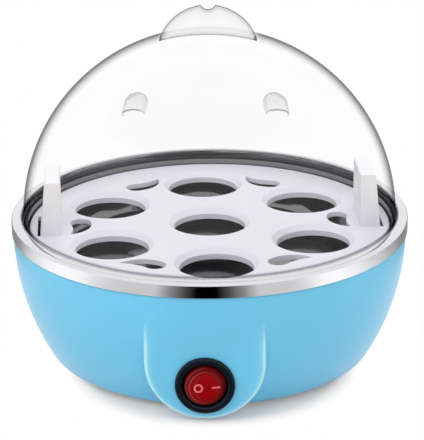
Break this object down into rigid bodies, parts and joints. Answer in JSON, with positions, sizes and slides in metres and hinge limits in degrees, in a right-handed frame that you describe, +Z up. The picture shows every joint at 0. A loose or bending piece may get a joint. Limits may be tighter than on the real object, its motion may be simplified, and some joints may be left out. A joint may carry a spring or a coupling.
{
  "type": "egg cooker",
  "caption": "Round electric egg cooker: plastic bowl base with a rocker switch, steel-rimmed heated dish, lift-out egg tray and clear domed lid with a fin handle.",
  "frame": {"origin": "middle of the table footprint, on the table, on the bowl's axis", "axes": "+Z up, -Y towards the switch, +X to the right of someone facing the switch"},
  "size_m": [0.16, 0.16, 0.1437],
  "materials": {
    "blue_shell": "smooth, gloss, light sky blue",
    "cover_plastic": "fine matte",
    "tray_plastic": "smooth satin white",
    "clear_lid": "clear moulded plastic, polished",
    "rim_steel": "bright spun steel",
    "zinc_steel": "plated, dull",
    "heater_aluminium": "cast, dull",
    "contact_brass": "plain",
    "foot_rubber": "matte",
    "black_plastic": "semi-gloss black",
    "red_rocker": "translucent red, gloss",
    "white_ceramic": "matte",
    "phenolic": "matte",
    "brown_lead": "silicone insulation",
    "black_lead": "silicone insulation",
    "white_lead": "silicone insulation",
    "blue_lead": "silicone insulation",
    "green_lead": "silicone insulation"
  },
  "bodies": {
    "base": {"base_shell": "blue_shell", "bottom_cover": "cover_plastic", "rubber_feet": "foot_rubber", "cover_screws": "zinc_steel", "steel_dish": "rim_steel", "dish_posts": "zinc_steel", "heater_plate": "heater_aluminium", "heater_tube": "heater_aluminium", "heater_beads": "white_ceramic", "heater_pins": "zinc_steel", "thermostat_cap": "heater_aluminium", "thermostat_body": "phenolic", "thermostat_flange": "zinc_steel", "thermostat_blades": "contact_brass", "thermostat_screws": "zinc_steel", "thermal_fuse": "contact_brass", "fuse_sleeve": "white_lead", "fuse_clip": "zinc_steel", "clip_screw": "zinc_steel", "earth_stud": "zinc_steel", "earth_lug": "contact_brass", "earth_nut": "zinc_steel", "terminal_block": "white_ceramic", "block_inserts": "contact_brass", "block_screws": "zinc_steel", "block_bolts": "zinc_steel", "cord_gland": "black_plastic", "gland_nut": "black_plastic", "switch_housing": "black_plastic", "switch_blades": "contact_brass", "live_lead": "brown_lead", "switched_lead": "black_lead", "heater_lead": "black_lead", "fuse_lead": "white_lead", "neutral_lead": "blue_lead", "earth_lead": "green_lead"},
    "rocker": {"switch_rocker": "red_rocker", "switch_spring": "zinc_steel", "switch_plunger": "white_ceramic"},
    "contact": {"switch_contact": "contact_brass"},
    "tray": {"egg_tray": "tray_plastic"},
    "lid": {"dome_lid": "clear_lid"}
  },
  "joints": [
    {"name": "tray_lift", "type": "slide", "parent": "base", "child": "tray", "axis": [0, 0, 1], "range_m": [0, 0.09]},
    {"name": "lid_lift", "type": "slide", "parent": "tray", "child": "lid", "axis": [0, 0, 1], "range_m": [0, 0.12]},
    {"name": "rocker_pivot", "type": "hinge", "parent": "base", "child": "rocker", "pos_m": [0, -0.07505, 0.0161], "axis": [0, 0, 1], "range_deg": [-15, 0]},
    {"name": "contact_pivot", "type": "hinge", "parent": "base", "child": "contact", "pos_m": [0, -0.06525, 0.0161], "axis": [0, 0, 1], "range_deg": [0, 12]}
  ],
  "couplings": [
    {"joint": "contact_pivot", "follows": "rocker_pivot", "ratio": -0.8}
  ]
}
